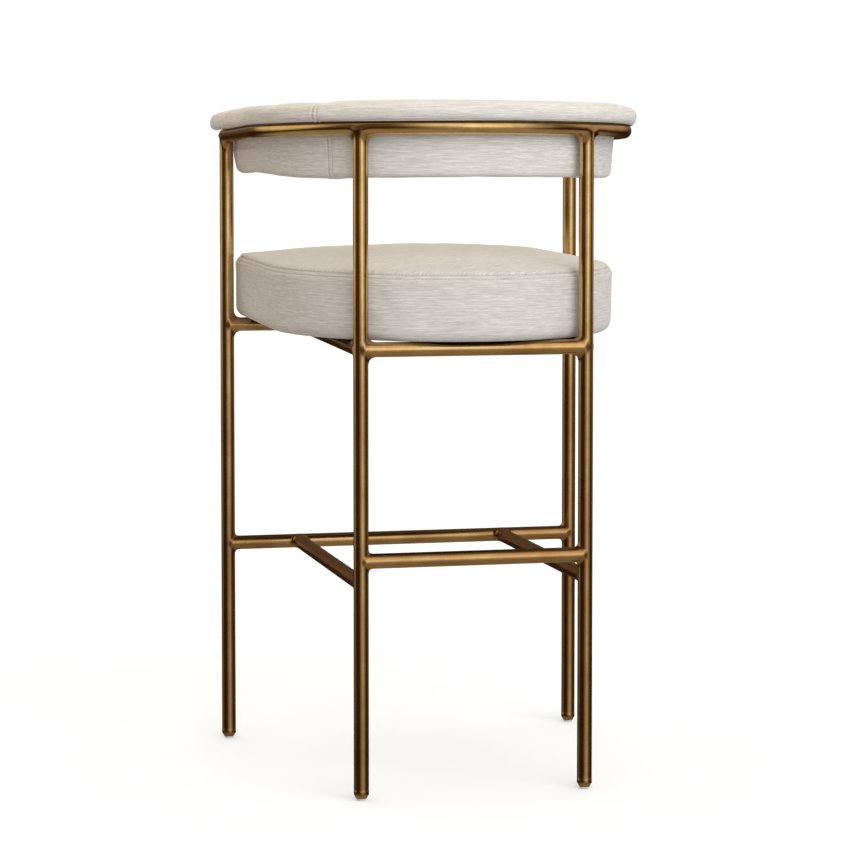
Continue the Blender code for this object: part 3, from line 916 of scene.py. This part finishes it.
def seat_weave(grid, around, places, side_start, side_end):
    """Thread coordinates of each face corner: round the boxing, or slanting over the top and underside."""
    rows, columns, _ = grid.shape
    x, y = grid[:, :, 0], grid[:, :, 1]
    across = x * math.cos(LINEN_SLANT) + y * math.sin(LINEN_SLANT)
    flat = np.stack([across, y * math.cos(LINEN_SLANT) - x * math.sin(LINEN_SLANT)], axis=2)
    spans = spans_round(around)
    found = []
    for r in range(rows - 1):
        boxed = side_start < (places[r] + places[r + 1]) / 2 < side_end
        for c, (here, there) in enumerate(spans):
            nxt = (c + 1) % columns
            if boxed:
                found += [(here, places[r], 0), (there, places[r], 0)]
                found += [(there, places[r + 1], 0), (here, places[r + 1], 0)]
            else:
                for row, column in ((r, c), (r, nxt), (r + 1, nxt), (r + 1, c)):
                    found.append((*flat[row, column], 0))
    for c in range(columns):
        nxt = (c + 1) % columns
        found += [(*flat[0, nxt], 0), (*flat[0, c], 0), (*flat[0].mean(axis=0), 0)]
        found += [(*flat[-1, c], 0), (*flat[-1, nxt], 0), (*flat[-1].mean(axis=0), 0)]
    return np.array(found)


# ------------ arm and back pad

PAD_COLUMNS = 72
SLAB_OUT = -0.0120
NOSE_LEAN = 0.022
SLAB_LIFT = 0.013
LIFT_START = ARC_Y + 0.205
NOSE_R = 0.009
ROLL_OUT = PAD_HIGH.x - FRONT_HALF
PAD_THICK = 0.0425
PAD_TOP = PAD_HIGH.z + arm_drop(PAD_HIGH.y)
PAD_BOTTOM = PAD_LOW.z + arm_drop(PAD_LOW.y)
SEAM_TURNS = (40.0, 172.0)  # the sewn seams' places round the curve, in degrees from its left end
PAD_STITCH_GAP = 0.0070
PAD_PUFF = 0.0032  # the cloth's largest move
RAIL_SIDE_PUFF = 0.0014  # the same on the side that faces the rail
PUFF_AT_SEAMS = 0.35  # the share of it that is left on a seam and at the arms' ends
END_ROWS = 6
PAD_HEART = (-0.032, PAD_TOP - 0.020)  # the middle of the rounded ends, as (outward offset, height)
NOSE_Y = PAD_LOW.y - 0.0050
POLE_Y = PAD_LOW.y - 0.0052


def pad_outline():
    """The pad's section as (outward offset, height), anticlockwise, with rounded corners."""
    top, bottom = PAD_TOP - 0.0032, PAD_BOTTOM - 0.0030
    rest = RAIL_Z + TUBE_R + 0.0004
    out, inner = ROLL_OUT - 0.0004, SLAB_OUT - PAD_THICK + 0.0020
    corners = [
        (SLAB_OUT - 0.0055, bottom, 0.013),
        (SLAB_OUT - 0.0010, rest, 0.002),
        (TUBE_R + 0.0006, rest, 0.0008),
        (TUBE_R + 0.0016, rest - 0.0022, 0.0012),
        (out, rest - 0.0022, 0.010),
        (out, top, 0.013),
        (inner, top, 0.017),
        (inner, bottom, 0.013),
    ]
    found = []
    for k, (x, y, radius) in enumerate(corners):
        here = np.array((x, y))
        back = np.array(corners[k - 1][:2]) - here
        ahead = np.array(corners[(k + 1) % len(corners)][:2]) - here
        back, ahead = back / np.linalg.norm(back), ahead / np.linalg.norm(ahead)
        half = math.acos(np.clip(back @ ahead, -1, 1)) / 2
        reach = radius / math.tan(half)
        for share in np.linspace(0, 1, 9):
            found.append(here + back * reach * (1 - share) ** 2 + ahead * reach * share**2)
    found = np.array(found + [found[0]])
    run = lengths_of(found)
    return read_at(found, run, np.arange(PAD_COLUMNS) * run[-1] / PAD_COLUMNS)


def drawn_in(outline, distance):
    """The closed outline moved inwards by a distance."""
    along = np.roll(outline, -2, axis=0) - np.roll(outline, 2, axis=0)
    inward = unit(np.stack([-along[:, 1], along[:, 0]], axis=1))
    area = np.sum(outline[:, 0] * np.roll(outline[:, 1], -1) - np.roll(outline[:, 0], -1) * outline[:, 1])
    return outline + inward * distance * (1 if area > 0 else -1)


def pad_stations(nose_steps=5, arm_steps=20, arc_steps=90):
    """Stations along the pad: (place on the rail's plan, outward direction, fullness of the section)."""
    bends = [0.5 * math.pi * k / nose_steps for k in range(nose_steps)]
    nose = [(NOSE_Y + NOSE_R * (1 - math.cos(bend)), math.sin(bend)) for bend in bends]
    arm_y = np.linspace(NOSE_Y + NOSE_R, ARC_Y, arm_steps, endpoint=False)
    left = [((FRONT_HALF, y), (1.0, 0.0), fullness) for y, fullness in nose]
    left += [((FRONT_HALF, y), (1.0, 0.0), 1.0) for y in arm_y]
    arc = []
    for k in range(arc_steps + 1):
        turn = math.pi * k / arc_steps
        out = (math.cos(turn), math.sin(turn))
        arc.append(((FRONT_HALF * out[0], ARC_Y + FRONT_HALF * out[1]), out, 1.0))
    right = [((-x, y), (-1.0, 0.0), fullness) for (x, y), _, fullness in reversed(left)]
    return left + arc + right


def make_pad(linen, thread):
    """The horseshoe pad: a rolled top over the rail and a slab inside it, in three sewn panels."""
    outline = pad_outline()
    stations = pad_stations()
    rows = []
    for (x, y), out, fullness in stations:
        section = drawn_in(outline, NOSE_R * (1 - fullness))
        lean = smoothstep(ARC_Y - y, 0.02, ARC_Y - PAD_LOW.y)
        forward = smoothstep(LIFT_START - y, 0.0, LIFT_START - PAD_LOW.y)
        depth = np.clip((PAD_TOP - section[:, 1]) / (PAD_TOP - PAD_BOTTOM), 0.0, 1.0)
        back = NOSE_LEAN * depth**2.4 * lean
        lift = SLAB_LIFT * forward * smoothstep(depth, 0.3, 1.0)
        place = (x + section[:, 0] * out[0], y + section[:, 0] * out[1] + back, section[:, 1] + lift)
        rows.append(np.stack(place, axis=1))
    grid = np.array(rows)
    plan = np.array([(x, y) for (x, y), _, _ in stations])
    run = lengths_of(plan)
    offsets, heights = outline[:, 0], outline[:, 1]
    under_roll = (heights < RAIL_Z + TUBE_R + 0.002) & (offsets > SLAB_OUT - 0.001)
    facing_rail = (offsets > SLAB_OUT - 0.003) & ~under_roll & (heights < RAIL_Z + TUBE_R)
    caps = np.where(facing_rail, RAIL_SIDE_PUFF, PAD_PUFF)
    caps[under_roll] = 0.0
    seam_runs = [run[-1] / 2 + (turn - math.pi / 2) * FRONT_HALF for turn in np.radians(SEAM_TURNS)]
    from_seam = np.min([np.abs(run - seam) for seam in seam_runs], axis=0)
    ease = PUFF_AT_SEAMS + (1 - PUFF_AT_SEAMS) * smoothstep(from_seam, 0.0, 0.035)
    ease[:END_ROWS] = PUFF_AT_SEAMS
    ease[-END_ROWS:] = PUFF_AT_SEAMS
    held = np.outer(np.ones(len(run)), under_roll)
    heart_out, heart_z = PAD_HEART
    poles = [np.array((side * (FRONT_HALF + heart_out), POLE_Y, heart_z)) for side in (1, -1)]
    blown = inflate("pad_blown", grid, poles, held, np.outer(ease, caps), flip=True)

    stitch_runs = [seam_runs[0] + PAD_STITCH_GAP, seam_runs[1] - PAD_STITCH_GAP]
    seams = sorted(seam_runs + stitch_runs)
    places, girth, fine, normals = finer_grid(blown, run, 0.006, seams, 0.5, lengths_of(outline)[-1])
    dip = np.zeros(fine.shape[:2])
    for number, (seam, stitch) in enumerate(zip(seam_runs, stitch_runs)):
        wave = 1 + 0.25 * ripple(girth, 0.04, 5 + number)
        dip += np.outer(seam_dip(places - seam, SEAM_DEPTH), wave)
        dip += np.outer(seam_dip(places - stitch, STITCH_DEPTH), wave)
        near = 0.0003 * np.exp(-np.abs(places - (seam + stitch) / 2) / 0.010)
        dip += np.outer(near, ripple(girth, 0.016, 8 + number))
    slack = 0.0005 * np.sin(places[:, None] / 0.07 + 3 * np.sin(girth[None, :] / 0.05))
    fine = fine + normals * (slack - dip)[:, :, None]
    fine[:, :, 2] -= arm_drop(fine[:, :, 1])
    fine = clear_of_frame(fine)
    ends = [pole - (0.0, 0.0, arm_drop(pole[1])) for pole in poles]
    mesh = closed_grid("arm_pad", fine, *ends, flip=True)
    from_line = np.min([np.abs(places - seam) for seam in seams], axis=0)
    piece = upholstered(mesh, from_line, len(girth), pad_weave(places, girth), linen)
    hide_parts("pad_cover", "pad_foam")
    for side, stitch in zip(("left", "right"), stitch_runs):
        row = int(np.argmin(np.abs(places - stitch)))
        free = frame_distance(fine[row])[0] > 0.0012
        start = int(np.argmax(~free & np.roll(free, -1)))
        order = (np.arange(len(free)) + start + 1) % len(free)
        order = order[free[order]]
        stitches("pad_stitching_" + side, fine[row][order], normals[row][order], thread)


def pad_weave(places, girth):
    """Thread coordinates of each face corner: along the rail, and round the pad's section."""
    spans = spans_round(girth)
    found = []
    for low, high in zip(places, places[1:]):
        for here, there in spans:
            found += [(high, here, 0), (high, there, 0), (low, there, 0), (low, here, 0)]
    for here, there in spans:
        middle_of_span = (here + there) / 2
        found += [(-0.015, middle_of_span, 0), (0.0, here, 0), (0.0, there, 0)]
        found += [(places[-1] + 0.015, middle_of_span, 0), (places[-1], there, 0), (places[-1], here, 0)]
    return np.array(found)


# ------------ inner and underside pieces


def dress_cad_nodes(plywood, dust_cloth, zinc):
    """New finishes for the CAD nodes that stay."""
    finishes = {"seat_board": plywood, "pad_core": plywood, "dust_cover": dust_cloth}
    for name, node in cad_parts.items():
        if "screw" in name or "t_nut" in name:
            finishes[name] = zinc
        if name in finishes:
            node.data.materials.clear()
            node.data.materials.append(finishes[name])


STAPLE_HALF = 0.0055
STAPLE_EDGE = 0.006  # from the dust cover's edge in to the staples


def make_staples(zinc):
    """Staples that hold the dust cover's edge, left out where a rail or crossbar is in the way."""
    low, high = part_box("dust_cover")
    edge = seat_plan(SEAT_HIGH.x - high.x + STAPLE_EDGE, 56)
    points, faces = [], []
    for k, (x, y) in enumerate(edge):
        ahead = edge[(k + 1) % len(edge)] - edge[k - 1]
        ahead = ahead / np.linalg.norm(ahead)
        side = np.array((-ahead[1], ahead[0]))
        under = low.z - seat_climb(high.y) + seat_climb(y)
        if frame_distance(np.array([[x, y, under]]))[0][0] < 0.006:
            continue
        for along in (-STAPLE_HALF, STAPLE_HALF):
            for across, drop in ((-0.0006, 0.0), (-0.0006, 0.0007), (0.0006, 0.0007), (0.0006, 0.0)):
                spot = np.array((x, y)) + ahead * along + side * across
                points.append((spot[0], spot[1], under + 0.0002 - drop))
        faces += bar_faces(2, 4, len(points) - 8)
    made = new_object("dust_cover_staples", mesh_from("dust_cover_staples", points, faces), zinc)
    finish_piece(made)


# ------------ stage, lights and camera

# A lamp in the world is (heading, cosine where it starts, cosine where it is full, colour).
AMBIENT_WARM = (0.50, 0.395, 0.31)
AMBIENT_LAMPS = (
    ((-0.25, -0.95, 0.15), 0.15, 0.90, (0.95, 0.91, 0.85)),
    ((-0.50, 0.86, 0.0), -0.70, 0.60, (0.46, 0.465, 0.46)),
    ((0.0, -0.2, 0.98), 0.30, 0.95, (1.15, 1.0, 0.78)),
)
BACKDROP = (1.0, 1.0, 1.0)
FLOOR_REACH = 30.0
FLOOR_LIGHT, FLOOR_DARK = (0.745, 0.80, 0.87), (0.735, 0.79, 0.86)
FLOOR_GLOW = 0.30
SUN_ANGLE = math.radians(70)
SUN_ENERGY = 2.35
SUN_HEADING = (0.26, -0.96, -0.32)
MIRRORED_DARK = (0.034, 0.015, 0.006)
MIRRORED_LAMPS = (
    ((-0.25, 0.95, 0.25), 0.56, 0.985, (0.58, 0.55, 0.49)),
    ((-0.25, 0.95, 0.10), 0.93, 0.995, (0.60, 0.59, 0.55)),
    ((-0.10, 0.78, 0.60), 0.72, 0.98, (0.60, 0.57, 0.50)),
    ((0.0, 0.0, -1.0), 0.30, 0.60, (0.34, 0.30, 0.24)),
    ((-0.85, -0.30, 0.42), 0.74, 0.96, (0.45, 0.38, 0.28)),
    ((0.80, -0.45, 0.42), 0.74, 0.96, (0.85, 0.72, 0.50)),
    ((0.0, 0.0, 1.0), -0.12, 0.10, (0.075, 0.050, 0.029)),
)


def make_stage():
    """A pale floor that takes the stool's shadow, glows faintly, and lights nothing itself."""
    n = Material("pale_floor")
    grain = n.noise(n.object_place(), 40.0, 2.0)
    n.set(Base_Color=n.ramp(grain, (0.3, FLOOR_DARK), (0.7, FLOOR_LIGHT)), Roughness=1.0)
    n.set(Specular_IOR_Level=0.0, Emission_Color=(0.93, 0.93, 0.93, 1.0), Emission_Strength=FLOOR_GLOW)
    corners = [(x * FLOOR_REACH, y * FLOOR_REACH, 0) for x, y in ((-1, -1), (1, -1), (1, 1), (-1, 1))]
    floor = new_object("floor", mesh_from("floor", corners, [(0, 1, 2, 3)]), n.material)
    floor.visible_glossy = False
    floor.visible_diffuse = False


def lit_from(n, way, base, lamps, blend):
    """A colour by direction: the base, with soft round lamps blended in."""
    total = base
    for heading, start, end, color in lamps:
        headings = {0: way, 1: Vector(heading).normalized()}
        lobe = n.add("ShaderNodeVectorMath", headings, operation="DOT_PRODUCT").outputs["Value"]
        span = {"Value": lobe, "From Min": start, "From Max": end}
        ease = n.add("ShaderNodeMapRange", span, interpolation_type="SMOOTHSTEP")
        total = n.mix(ease.outputs["Result"], total, color, blend)
    return total


def make_world():
    """A pale studio: plain behind the object, softly warm on cloth, and dark with soft lamps in metal."""
    world = bpy.data.worlds.new("studio")
    bpy.context.scene.world = world
    world.use_nodes = True
    n = Nodes(world.node_tree)
    way = n.add("ShaderNodeTexCoord").outputs["Generated"]
    ambient = n.tree.nodes["Background"]
    n.feed(ambient.inputs["Color"], lit_from(n, way, AMBIENT_WARM, AMBIENT_LAMPS, "MIX"))
    reflected = lit_from(n, way, MIRRORED_DARK, MIRRORED_LAMPS, "ADD")
    mirrored = n.add("ShaderNodeBackground", {"Color": reflected})
    backdrop = n.add("ShaderNodeBackground", {"Color": (*BACKDROP, 1.0)})
    path = n.add("ShaderNodeLightPath").outputs
    by_ray = {0: path["Is Glossy Ray"], 1: ambient.outputs[0], 2: mirrored.outputs[0]}
    light = n.add("ShaderNodeMixShader", by_ray).outputs[0]
    by_view = {0: path["Is Camera Ray"], 1: light, 2: backdrop.outputs[0]}
    shown = n.add("ShaderNodeMixShader", by_view).outputs[0]
    n.feed(n.tree.nodes["World Output"].inputs["Surface"], shown)


def make_lights():
    """One wide, very soft lamp from low behind the stool and a little to its right."""
    data = bpy.data.lights.new("sky_panel", "SUN")
    data.angle = SUN_ANGLE
    data.energy = SUN_ENERGY
    lamp = bpy.data.objects.new("sky_panel", data)
    lamp.rotation_euler = Vector(SUN_HEADING).to_track_quat("-Z", "Y").to_euler()
    lamp.visible_glossy = False
    bpy.context.scene.collection.objects.link(lamp)


CAMERA_TURN = math.radians(13.56)
CAMERA_YAW = math.radians(-0.21)
CAMERA_PITCH = math.radians(3.50)
CAMERA_RANGE = 4.006
CAMERA_HEIGHT = 0.8677
CAMERA_LENS = 115.68
CAMERA_SHIFT = -0.10


def make_camera():
    """A long lens behind the stool and a little to its left, at about the height of the arms."""
    data = bpy.data.cameras.new("camera")
    camera = bpy.data.objects.new("camera", data)
    bpy.context.scene.collection.objects.link(camera)
    data.sensor_width = 36.0
    data.lens = CAMERA_LENS
    data.shift_y = CAMERA_SHIFT
    middle_y = (FRONT_Y + REAR_Y) / 2
    camera.location = (
        CAMERA_RANGE * math.sin(CAMERA_TURN),
        CAMERA_RANGE * math.cos(CAMERA_TURN) + middle_y,
        CAMERA_HEIGHT,
    )
    heading = CAMERA_TURN + CAMERA_YAW
    ahead = Vector((-math.sin(heading), -math.cos(heading), -math.tan(CAMERA_PITCH)))
    camera.rotation_euler = ahead.to_track_quat("-Z", "Y").to_euler()
    bpy.context.scene.camera = camera


def main():
    bpy.context.scene.view_settings.view_transform = "Standard"
    brass = brass_material()
    # The seat's linen carries painted shade and the pad's carries painted light; the cloth is the same.
    seat_linen_painted_shade = linen_material("seat_linen_painted_shade", SEAT_LINEN_PAINTED_SHADE)
    pad_linen_painted_light = linen_material("pad_linen_painted_light", PAD_LINEN_PAINTED_LIGHT)
    nylon = plain_material("nylon", (0.74, 0.74, 0.73), (0.62, 0.62, 0.61), 0.42, 300.0, 0.00005)
    plywood = plain_material(
        "birch_ply", (0.70, 0.54, 0.36), (0.52, 0.36, 0.21), 0.6, 30.0, stretch=(1, 8, 60)
    )
    dust_cloth = plain_material(
        "dust_cloth", (0.055, 0.055, 0.057), (0.02, 0.02, 0.021), 0.9, 420.0, 0.0003
    )
    thread = plain_material("thread", (0.74, 0.70, 0.63), (0.62, 0.57, 0.50), 0.85, 2500.0, 0.0001)
    zinc = plain_material(
        "zinc", (0.70, 0.70, 0.72), (0.50, 0.50, 0.52), 0.28, 200.0, 0.00005, metallic=1.0
    )
    make_camera()
    make_frame(brass)
    make_turned_pieces(brass, nylon)
    make_seat(seat_linen_painted_shade, thread)
    make_pad(pad_linen_painted_light, thread)
    dress_cad_nodes(plywood, dust_cloth, zinc)
    make_staples(zinc)
    make_stage()
    make_world()
    make_lights()


main()
